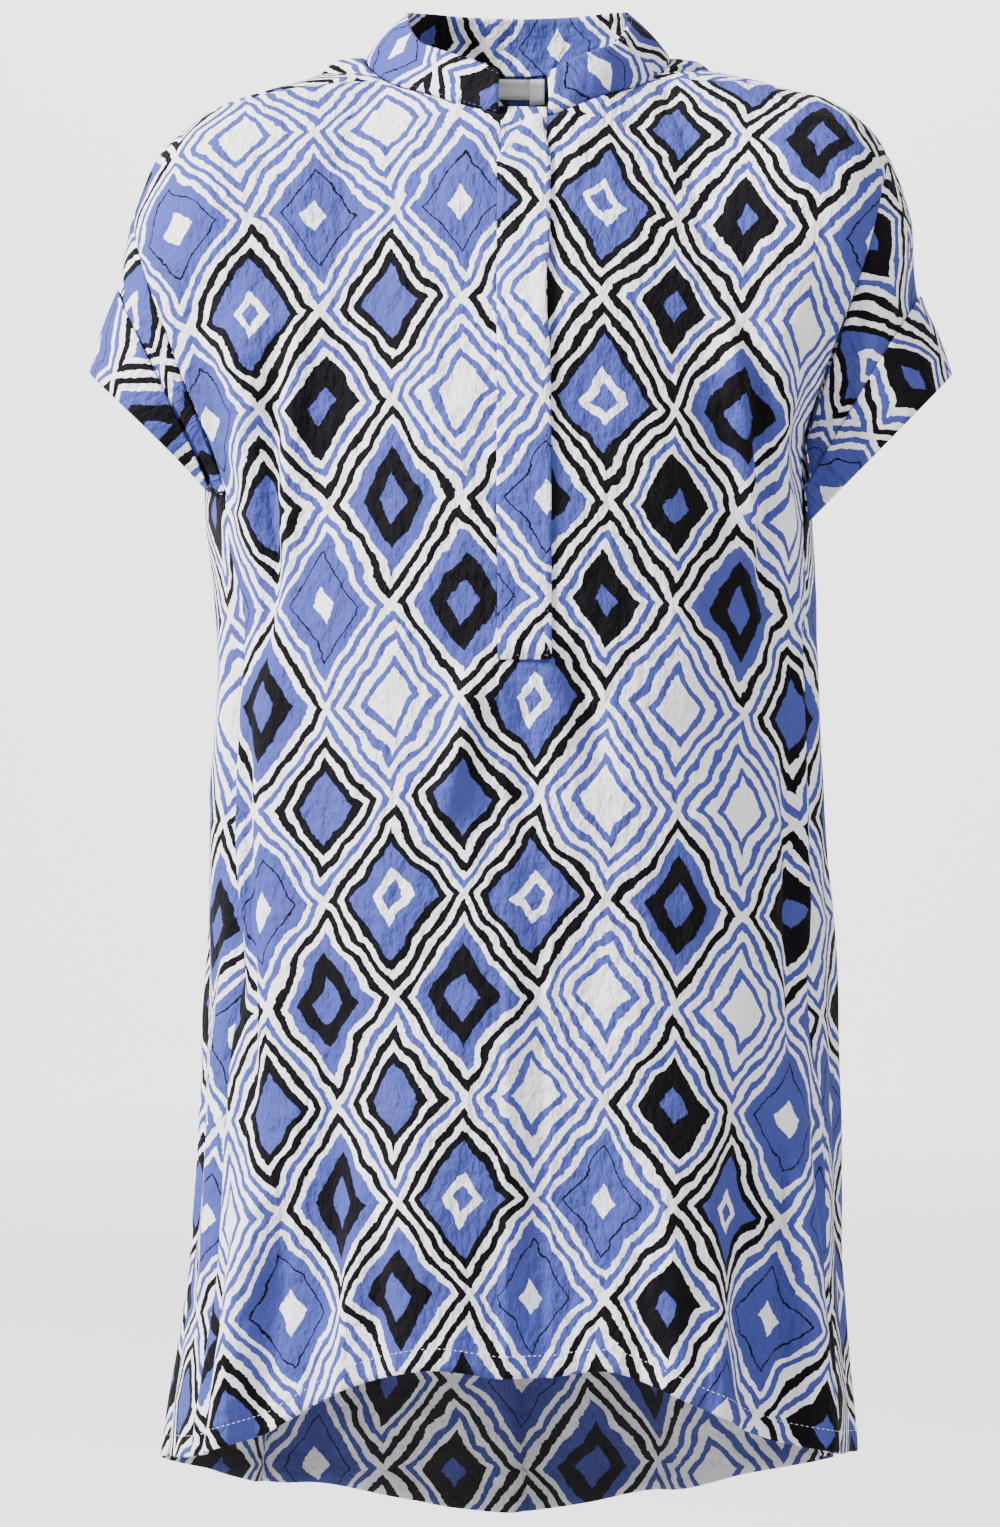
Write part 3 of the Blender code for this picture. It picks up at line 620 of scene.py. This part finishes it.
def flatten(points, rounds=500, stride=4):
    """Where the points of a grid lie on the flat cloth: lengths between neighbours are kept as well as can be."""
    rows = np.unique(np.r_[np.arange(0, len(points), stride), len(points) - 1])
    columns = np.unique(np.r_[np.arange(0, points.shape[1], stride), points.shape[1] - 1])
    knots = points[np.ix_(rows, columns)]
    flat = np.stack([arc(knots, 1), arc(knots, 0)], axis=-1)
    flat[..., 0] -= flat[:, flat.shape[1] // 2, 0][:, None]
    every, low, high = slice(None), slice(None, -1), slice(1, None)
    links = [((every, low), (every, high)), ((low, every), (high, every))]
    links += [((low, low), (high, high)), ((low, high), (high, low))]
    rests = [np.linalg.norm(knots[b] - knots[a], axis=-1) for a, b in links]
    for _ in range(rounds):
        move, count = np.zeros_like(flat), np.zeros(flat.shape[:2] + (1,))
        for (a, b), rest in zip(links, rests):
            along = flat[b] - flat[a]
            push = along * ((1 - rest / np.linalg.norm(along, axis=-1)) / 2)[..., None]
            move[a] += push
            move[b] -= push
            count[a] += 1
            count[b] += 1
        flat += move / count * 1.6
    wide = np.array([[np.interp(np.arange(points.shape[1]), columns, line) for line in flat[..., k]] for k in (0, 1)])
    full = np.array([[np.interp(np.arange(len(points)), rows, line) for line in sheet.T] for sheet in wide])
    return full.transpose(2, 1, 0)


def flat_size(flat):
    """Width, length and area of a flattened grid."""
    a, b = flat[:-1, :-1], flat[1:, 1:]
    c, d = flat[:-1, 1:], flat[1:, :-1]
    cross = (b - a)[..., 0] * (d - c)[..., 1] - (b - a)[..., 1] * (d - c)[..., 0]
    width, length = np.ptp(flat[..., 0]), np.ptp(flat[..., 1])
    return float(width), float(length), float(abs(cross).sum() / 2)


def add_mesh(name, vertices, faces):
    """A smooth mesh object in the scene."""
    mesh = bpy.data.meshes.new(name)
    mesh.from_pydata(vertices.tolist(), [], faces)
    mesh.shade_smooth()
    piece = bpy.data.objects.new(name, mesh)
    bpy.context.scene.collection.objects.link(piece)
    return piece


def add_shell(name, skin, normals, thickness, flat, materials, left_out=()):
    """A piece of cloth with round edges, and with its flat place as its print's coordinates."""
    rows, columns = skin.shape[:2]
    count = rows * columns
    outside = []
    for row in range(rows - 1):
        for column in range(columns - 1):
            if (row, column) not in left_out:
                a = row * columns + column
                outside.append((a, a + 1, a + 1 + columns, a + columns))
    edges = {edge for face in outside for edge in zip(face, face[1:] + face[:1])}
    border = [(a, b) for a, b in sorted(edges) if (b, a) not in edges]
    outer, away = skin.reshape(-1, 3), normals.reshape(-1, 3)
    thick = np.broadcast_to(thickness, skin.shape[:2]).reshape(-1, 1)
    inner = outer - away * thick
    push = {}
    for a, b in border:
        out = unit(np.cross(outer[b] - outer[a], away[a]))
        push[a] = push.get(a, 0) + out
        push[b] = push.get(b, 0) + out
    rim = {vertex: 2 * count + place for place, vertex in enumerate(push)}
    middle = [(outer[v] + inner[v]) / 2 + unit(out) * thick[v] / 2 for v, out in push.items()]
    faces = list(outside)
    faces += [tuple(vertex + count for vertex in reversed(face)) for face in outside]
    for a, b in border:
        faces += [(b, a, rim[a], rim[b]), (rim[b], rim[a], a + count, b + count)]
    piece = add_mesh(name, np.concatenate([outer, inner, np.array(middle)]), faces)
    place = np.concatenate([flat.reshape(-1, 2)] * 2 + [flat.reshape(-1, 2)[list(push)]])
    grain = piece.data.uv_layers.new(name="grain")
    corners = np.empty(len(piece.data.loops), np.int32)
    piece.data.loops.foreach_get("vertex_index", corners)
    grain.data.foreach_set("uv", place[corners].astype(np.float32).ravel())
    for item in materials:
        piece.data.materials.append(item)
    if len(materials) > 1:
        inside = np.zeros(len(faces), np.int32)
        inside[len(outside) : 2 * len(outside)] = 1
        piece.data.polygons.foreach_set("material_index", inside)
    return piece


def pull_back(points, edges):
    """The grid with its named edges stepped back a little from their seams."""
    moved = points.copy()
    steps = {"low": (0, 1), "top": (-1, -2)}
    for edge in edges:
        if edge in steps:
            last, inner = steps[edge]
            moved[last] += unit(points[inner] - points[last]) * SEAM_GAP
        else:
            last, inner = (0, 1) if edge == "first" else (-1, -2)
            moved[:, last] += unit(points[:, inner] - points[:, last]) * SEAM_GAP
    return moved


def sink(points, normals, edges):
    """The grid with its named edges drawn in, as sewing draws cloth in."""
    depth = np.zeros(points.shape[:2])
    if "low" in edges:
        depth[0] = SEAM_SINK
    if "top" in edges:
        depth[-1] = SEAM_SINK
    if "first" in edges:
        depth[:, 0] = SEAM_SINK
    if "last" in edges:
        depth[:, -1] = SEAM_SINK
    return points - normals * depth[..., None]


def inset(points, normals, edge, distance):
    """The curve on a grid at a distance from one of its edges, with its normals."""
    both = np.concatenate([points, normals], axis=-1)
    if edge in ("first", "last"):
        both = both.transpose(1, 0, 2)
    if edge in ("top", "last"):
        both = both[::-1]
    lengths = arc(both[..., :3], 0)
    curve = []
    for column in range(both.shape[1]):
        curve.append([np.interp(distance, lengths[:, column], both[:, column, k]) for k in range(6)])
    curve = np.array(curve)
    return curve[:, :3], curve[:, 3:]


def stitches(name, lines, finish, radius):
    """A piece with a short thread every pitch along each line of points with normals."""
    vertices, faces = [], []
    for points, normals in lines:
        lengths = arc(points, 0)
        at = np.arange(STITCH_PITCH / 2, lengths[-1], STITCH_PITCH)
        if not len(at):
            continue
        centre = np.stack([np.interp(at, lengths, points[:, k]) for k in range(3)], axis=-1)
        ahead = np.stack([np.interp(at + 1e-3, lengths, points[:, k]) for k in range(3)], axis=-1)
        behind = np.stack([np.interp(at - 1e-3, lengths, points[:, k]) for k in range(3)], axis=-1)
        normal = unit(np.stack([np.interp(at, lengths, normals[:, k]) for k in range(3)], axis=-1))
        tangent = unit(ahead - behind)
        side = unit(np.cross(tangent, normal))
        for c, t, n, s in zip(centre, tangent, normal, side):
            first = len(vertices)
            ends = (c - t * STITCH_LENGTH / 2, c + t * STITCH_LENGTH / 2)
            around = (s, n * 1.2, -s, -n)
            vertices += [ends[0], *(c + turn * radius for turn in around), ends[1]]
            for k in range(4):
                a, b = first + 1 + k, first + 1 + (k + 1) % 4
                faces += [(first, b, a), (first + 5, a, b)]
    piece = add_mesh(name, np.array(vertices), faces)
    piece.data.materials.append(finish)
    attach(piece, "root")
    return piece


def linear(red, green, blue):
    """A colour read from 0 to 255, as light."""
    channels = [value / 255 for value in (red, green, blue)]
    return tuple(c / 12.92 if c <= 0.04045 else ((c + 0.055) / 1.055) ** 2.4 for c in channels) + (1.0,)


class Graph:
    """A material's nodes, added by short calls."""

    def __init__(self, name):
        self.material = bpy.data.materials.new(name)
        self.material.use_nodes = True
        self.tree = self.material.node_tree
        self.shader = self.tree.nodes["Principled BSDF"]

    def add(self, kind, inputs=None, **settings):
        """A node with its settings, and its inputs as values or as sockets to link."""
        made = self.tree.nodes.new(kind)
        for name, value in settings.items():
            setattr(made, name, value)
        for name, value in (inputs or {}).items():
            if isinstance(value, bpy.types.NodeSocket):
                self.tree.links.new(value, made.inputs[name])
            else:
                made.inputs[name].default_value = value
        return made

    def math(self, operation, *values):
        """The result of a sum on numbers or sockets."""
        return self.add("ShaderNodeMath", dict(enumerate(values)), operation=operation).outputs[0]

    def vector(self, operation, *values):
        """The result of a sum on vectors."""
        return self.add("ShaderNodeVectorMath", dict(enumerate(values)), operation=operation).outputs[0]

    def mix(self, share, first, second):
        """A colour between two colours."""
        made = self.add("ShaderNodeMix", data_type="RGBA")
        for place, value in ((0, share), (6, first), (7, second)):
            if isinstance(value, bpy.types.NodeSocket):
                self.tree.links.new(value, made.inputs[place])
            else:
                made.inputs[place].default_value = value
        return made.outputs[2]

    def steps(self, at, stops):
        """A colour that changes abruptly at the stops, which are (position, colour)."""
        ramp = self.add("ShaderNodeValToRGB", {"Fac": at})
        ramp.color_ramp.interpolation = "CONSTANT"
        for place, (position, colour) in enumerate(stops):
            stop = ramp.color_ramp.elements[0] if place == 0 else ramp.color_ramp.elements.new(position)
            stop.position = position
            stop.color = colour
        ramp.color_ramp.elements.remove(ramp.color_ramp.elements[-1])
        return ramp.outputs["Color"]

    def link(self, socket, name):
        """Links a socket to the shader."""
        self.tree.links.new(socket, self.shader.inputs[name])


GROUND = linear(206, 204, 209)
BLUE = linear(55, 62, 125)
BLACK = linear(4, 3, 7)

# Rings of each kind of lozenge: how far in from its edge each colour starts, in millimetres
MOTIFS = (
    ((0, GROUND), (2.0, BLACK), (6.2, GROUND), (9.8, BLACK), (13.8, BLUE), (24.5, GROUND), (29.0, BLUE)),
    ((0, GROUND), (2.0, BLUE), (5.6, GROUND), (9.6, BLUE), (13.2, GROUND), (18.6, BLUE), (22.4, GROUND)),
    ((0, GROUND), (2.0, BLACK), (6.0, GROUND), (9.6, BLUE), (17.0, BLACK), (26.0, BLUE)),
    ((0, GROUND), (2.0, BLUE), (5.6, GROUND), (8.8, BLUE), (15.0, BLACK), (15.9, BLUE), (27.0, GROUND)),
    ((0, GROUND), (2.0, BLUE), (5.6, GROUND), (9.0, BLACK), (13.4, GROUND), (17.0, BLACK), (21.4, BLUE)),
    ((0, GROUND), (2.0, BLACK), (6.2, GROUND), (9.6, BLUE), (13.2, GROUND), (16.4, BLACK), (28.0, BLUE)),
)


def crepe(name, faded, painted_shade_scale):
    """Thin crinkled crepe with a hand-drawn print of nested lozenges, worked out on the flat cloth. Faded is the
    share of the print turned to a pale grey, as on the cloth's reverse. The third argument scales the colour, and
    below one it darkens the colour as painted shade.
    """
    graph = Graph(name)
    grain = graph.add("ShaderNodeUVMap", uv_map="grain").outputs[0]
    wobbled = grain
    for scale, height in ((24.0, 0.0085), (95.0, 0.0022), (420.0, 0.0008)):
        made = graph.add("ShaderNodeTexNoise", {"Vector": grain, "Scale": scale, "Detail": 1.0})
        shift = graph.vector("SUBTRACT", made.outputs["Color"], (0.5, 0.5, 0.5))
        shift = graph.vector("MULTIPLY", shift, (height * 2, height * 2, 0.0))
        wobbled = graph.vector("ADD", wobbled, shift)
    place = graph.add("ShaderNodeSeparateXYZ", {0: wobbled})
    across = graph.math("DIVIDE", place.outputs[0], LOZENGE_WIDTH)
    along = graph.math("DIVIDE", place.outputs[1], LOZENGE_HEIGHT)
    rising = graph.math("ADD", across, along)
    falling = graph.math("SUBTRACT", across, along)
    cells, edges = [], []
    for slant in (rising, falling):
        cells.append(graph.math("FLOOR", slant))
        part = graph.math("FRACT", slant)
        edges.append(graph.math("MINIMUM", part, graph.math("SUBTRACT", 1.0, part)))
    inward = graph.math("MINIMUM", *edges)
    cell = graph.add("ShaderNodeCombineXYZ", {0: cells[0], 1: cells[1]}).outputs[0]
    chance = graph.add("ShaderNodeTexWhiteNoise", {"Vector": cell}, noise_dimensions="2D")
    kind = graph.math("MULTIPLY", chance.outputs["Value"], float(len(MOTIFS)))

    depth = LOZENGE_WIDTH * LOZENGE_HEIGHT / np.hypot(LOZENGE_WIDTH, LOZENGE_HEIGHT) / 2
    print_colour = None
    for number, rings in enumerate(MOTIFS):
        stops = [(start / 1000 / depth, colour) for start, colour in rings]
        ringed = graph.steps(graph.math("MULTIPLY", inward, 2.0), stops)
        if print_colour is None:
            print_colour = ringed
        else:
            chosen = graph.math("GREATER_THAN", kind, float(number))
            print_colour = graph.mix(chosen, print_colour, ringed)

    blot = graph.add("ShaderNodeTexNoise", {"Vector": grain, "Scale": 60.0, "Detail": 3.0})
    # The blotches are the cloth's own uneven tone. The third argument scales the whole colour, and below one this is
    # painted shade.
    tone = graph.add("ShaderNodeMapRange", {"Value": blot.outputs[0], "To Min": 0.90 * painted_shade_scale, "To Max": 1.06 * painted_shade_scale}).outputs[0]
    toned = graph.add("ShaderNodeVectorMath", {0: print_colour, "Scale": tone}, operation="SCALE").outputs[0]
    colour = graph.mix(faded, toned, linear(172, 172, 176))
    graph.link(colour, "Base Color")
    graph.shader.inputs["Roughness"].default_value = 0.86
    graph.shader.inputs["Specular IOR Level"].default_value = 0.09
    graph.shader.inputs["Sheen Weight"].default_value = 0.02

    crinkles = []
    for across_scale, along_scale, detail in ((95.0, 60.0, 3.0), (260.0, 120.0, 3.0), (900.0, 420.0, 2.0)):
        stretched = graph.vector("MULTIPLY", grain, (across_scale, along_scale, 1.0))
        made = graph.add("ShaderNodeTexNoise", {"Vector": stretched, "Scale": 1.0, "Detail": detail})
        crinkles.append(made.outputs[0])
    normal = None
    for height, distance in zip(crinkles, (0.0045, 0.0022, 0.0004)):
        bump = graph.add("ShaderNodeBump", {"Strength": 0.9, "Distance": distance, "Height": height})
        if normal is not None:
            graph.tree.links.new(normal, bump.inputs["Normal"])
        normal = bump.outputs[0]
    graph.link(normal, "Normal")
    return graph.material


def woven(name, colour, scale, roughness):
    """A plain fine weave, for labels and thread."""
    graph = Graph(name)
    place = graph.add("ShaderNodeTexCoord").outputs["Object"]
    made = graph.add("ShaderNodeTexNoise", {"Vector": place, "Scale": scale, "Detail": 2.0})
    tone = graph.add("ShaderNodeMapRange", {"Value": made.outputs[0], "To Min": 0.88, "To Max": 1.05}).outputs[0]
    toned = graph.add("ShaderNodeVectorMath", {0: colour[:3], "Scale": tone}, operation="SCALE").outputs[0]
    graph.link(toned, "Base Color")
    bump = graph.add("ShaderNodeBump", {"Strength": 0.4, "Distance": 0.0002, "Height": made.outputs[0]})
    graph.link(bump.outputs[0], "Normal")
    graph.shader.inputs["Roughness"].default_value = roughness
    return graph.material


def plain(name, colour):
    """The matt paint of the lit floor and backdrop, very slightly uneven."""
    graph = Graph(name)
    place = graph.add("ShaderNodeTexCoord").outputs["Object"]
    made = graph.add("ShaderNodeTexNoise", {"Vector": place, "Scale": 0.6, "Detail": 1.0})
    tone = graph.add("ShaderNodeMapRange", {"Value": made.outputs[0], "To Min": 0.98, "To Max": 1.0}).outputs[0]
    toned = graph.add("ShaderNodeVectorMath", {0: colour[:3], "Scale": tone}, operation="SCALE").outputs[0]
    graph.link(toned, "Base Color")
    graph.shader.inputs["Roughness"].default_value = 0.9
    graph.shader.inputs["Emission Color"].default_value = colour
    back = graph.add("ShaderNodeSeparateXYZ", {0: place}).outputs[1]
    away = graph.math("ABSOLUTE", graph.math("ADD", back, 1.2))
    lit = graph.add("ShaderNodeMapRange", {"Value": away, "From Min": 1.5, "From Max": 2.1, "To Max": 2.1})
    graph.link(lit.outputs[0], "Emission Strength")
    return graph.material


def dress(piece, node, flat):
    """Says what a piece of cloth replaces, where it rides and how it was cut."""
    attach(piece, "root")
    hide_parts(node)
    width, length, surface = flat_size(flat)
    width = max(width, NARROWEST_CUT)
    print(f"{node}: cut {width:.3f} by {length:.3f} m, {surface:.4f} square metres")


def make_tunic():
    """All pieces of cloth and their sewing."""
    # The reverse is a little paler, as printed cloth is. It is also darkened to three quarters as painted shade, for
    # the inside seen in shadow under the front hem and in the neck.
    outside, inside = crepe("printed_crepe", 0.0, 1.0), crepe("printed_crepe_reverse_painted_shade", 0.03, 0.75)
    cloth = (outside, inside)
    thread = woven("thread", linear(205, 203, 206), 900.0, 0.6)
    toned_thread = woven("toned_thread", linear(88, 95, 136), 900.0, 0.6)
    tape = woven("label_tape", linear(196, 196, 198), 1200.0, 0.5)

    base = {"front": front_grid(), "back": back_grid()}
    base |= {side: sleeve_grid(side, base["front"], base["back"]) for side in SIGN}
    base["collar"] = collar_grid()
    edges = {
        "front": ("first", "last", "top"),
        "back": ("first", "last", "top"),
        "right": ("low", "first", "last"),
        "left": ("low", "first", "last"),
        "collar": ("low",),
    }
    grids, normals, flats = {}, {}, {}
    for name, points in base.items():
        away = normals_of(points)
        calm = 0.4 if name == "collar" else 1.0
        lifted = points + away * (ripple(points) * calm)[..., None]
        flats[name] = flatten(points)
        normals[name] = normals_of(lifted)
        grids[name] = sink(pull_back(lifted, edges[name]), normals[name], edges[name])

    lines = []
    slot = NECK_COLUMNS + SHOULDER_COLUMNS + 1
    slot_cells = {
        (row, slot + column)
        for row in range(SLOT_ROW, LOW_ROWS + HIGH_ROWS)
        for column in range(MIDDLE_COLUMNS + 1)
    }
    for name, left_out in (("front", slot_cells), ("back", ())):
        depth = arc(grids[name], 0)
        thickness = np.where(depth < HEM_DEPTH, 2 * CREPE, CREPE)
        piece = add_shell(f"{name}_cloth", grids[name], normals[name], thickness, flats[name], cloth, left_out)
        dress(piece, name, flats[name])
        lines.append(inset(grids[name], normals[name], "low", HEM_DEPTH))

    for side in SIGN:
        name = f"sleeve_{side}"
        flats[side] += (0.031, 0.047) if side == "left" else (0.012, 0.083)
        piece = add_shell(f"{name}_cloth", grids[side], normals[side], CREPE, flats[side], cloth)
        dress(piece, name, flats[side])
        cuff = ring_grid(side, CUFF_STEPS)
        away = normals_of(cuff)
        cuff += away * (CUFF_GAP + FOLDED_CREPE + ripple(cuff) * 0.3)[..., None]
        cuff = pull_back(cuff, ("first", "last"))
        flat = flatten(cuff) + (0.020, 0.030)
        piece = add_shell(f"cuff_{side}_cloth", cuff, away, FOLDED_CREPE, flat, (outside,))
        dress(piece, f"cuff_{side}", flat)

    flat = flatten(grids["collar"]) + (0.021, 0.040)
    piece = add_shell("collar_cloth", grids["collar"], normals["collar"], FOLDED_CREPE, flat, (outside,))
    dress(piece, "collar", flat)
    edge_lines = [inset(grids["collar"], normals["collar"], edge, EDGE_STITCH) for edge in ("low", "top")]

    front = grids["front"]
    under = band_grid(front, SLOT_HALF - SEAM_GAP, SLOT_ROW, -SEAM_GAP, UNDER_BAND_ABOVE_NECK)
    away = normals_of(under)
    flat = flatten(under) + (0.050, 0.070)
    piece = add_shell("placket_under_cloth", under - away * BAND_GAP, away, CREPE, flat, (outside,))
    dress(piece, "placket_under", flat)
    upper = hang_band(band_grid(front, BAND_HALF, SLOT_ROW, BAND_BELOW_SLOT, BAND_ABOVE_NECK))
    away = normals_of(upper)
    skin = upper + away * (BAND_GAP + 2 * CREPE)
    flat = flatten(upper) + (0.034, 0.022)
    piece = add_shell("placket_upper_cloth", skin, away, 2 * CREPE, flat, (outside,))
    dress(piece, "placket_upper", flat)
    edge_lines += [inset(skin, away, edge, EDGE_STITCH) for edge in ("first", "last", "low")]
    stitches("hem_stitching", lines, thread, THREAD_RADIUS)
    stitches("edge_stitching", edge_lines, toned_thread, EDGE_THREAD_RADIUS)

    for name, sizes in (("neck_label", MAIN_LABEL), ("size_label", SIZE_LABEL)):
        grid = label_grid(grids["back"], sizes)
        away = normals_of(grid)
        skin = grid - away * (CREPE + LABEL_GAP)
        flat = flatten(grid, stride=1)
        piece = add_shell(name + "_tape", skin, away, LABEL_TAPE, flat, (tape,))
        dress(piece, name, flat)


def add_stage():
    """Floor and backdrop in one sweep."""
    profile = [(-40.0, FLOOR_Z), (6.2, FLOOR_Z)]
    bend = np.linspace(0, np.pi / 2, 17)[1:]
    profile += [(6.2 + 2 * np.sin(turn), FLOOR_Z + 2 - 2 * np.cos(turn)) for turn in bend]
    profile.append((8.2, FLOOR_Z + 7.0))
    vertices = [(x, y, z) for y, z in profile for x in (-40.0, 40.0)]
    faces = [(2 * i, 2 * i + 1, 2 * i + 3, 2 * i + 2) for i in range(len(profile) - 1)]
    sweep = add_mesh("floor_sweep", np.array(vertices), faces)
    sweep.data.materials.append(plain("floor_paint", linear(196, 196, 196)))


def add_light(name, place, target, size, power):
    """A soft box that looks at a point."""
    data = bpy.data.lights.new(name, "AREA")
    data.shape = "RECTANGLE"
    data.size, data.size_y = size
    data.energy = power
    lamp = bpy.data.objects.new(name, data)
    lamp.location = place
    lamp.rotation_euler = (Vector(target) - Vector(place)).to_track_quat("-Z", "Y").to_euler()
    bpy.context.scene.collection.objects.link(lamp)


def add_lights():
    """Plain soft studio light."""
    world = bpy.data.worlds.new("studio")
    world.use_nodes = True
    background = world.node_tree.nodes["Background"]
    background.inputs["Color"].default_value = (1.0, 1.0, 1.0, 1.0)
    background.inputs["Strength"].default_value = 0.07
    bpy.context.scene.world = world
    middle = (0, 0, -0.45)
    add_light("key_box", (-2.7, -1.4, 1.7), middle, (0.8, 0.8), 690)
    add_light("fill_box", (1.9, -2.3, 1.7), middle, (1.4, 1.4), 150)
    add_light("back_box", (0.0, 5.4, 3.4), (0, 8.2, 0.2), (4.0, 1.5), 500)


def add_camera():
    """The camera that took the photograph, level and in front."""
    data = bpy.data.cameras.new("camera")
    data.sensor_width = 36.0
    data.lens = CAMERA_LENS
    camera = bpy.data.objects.new("camera", data)
    camera.location = CAMERA_AT
    camera.rotation_euler = (np.pi / 2, 0, 0)
    bpy.context.scene.collection.objects.link(camera)
    bpy.context.scene.camera = camera


add_camera()
add_lights()
add_stage()
make_tunic()
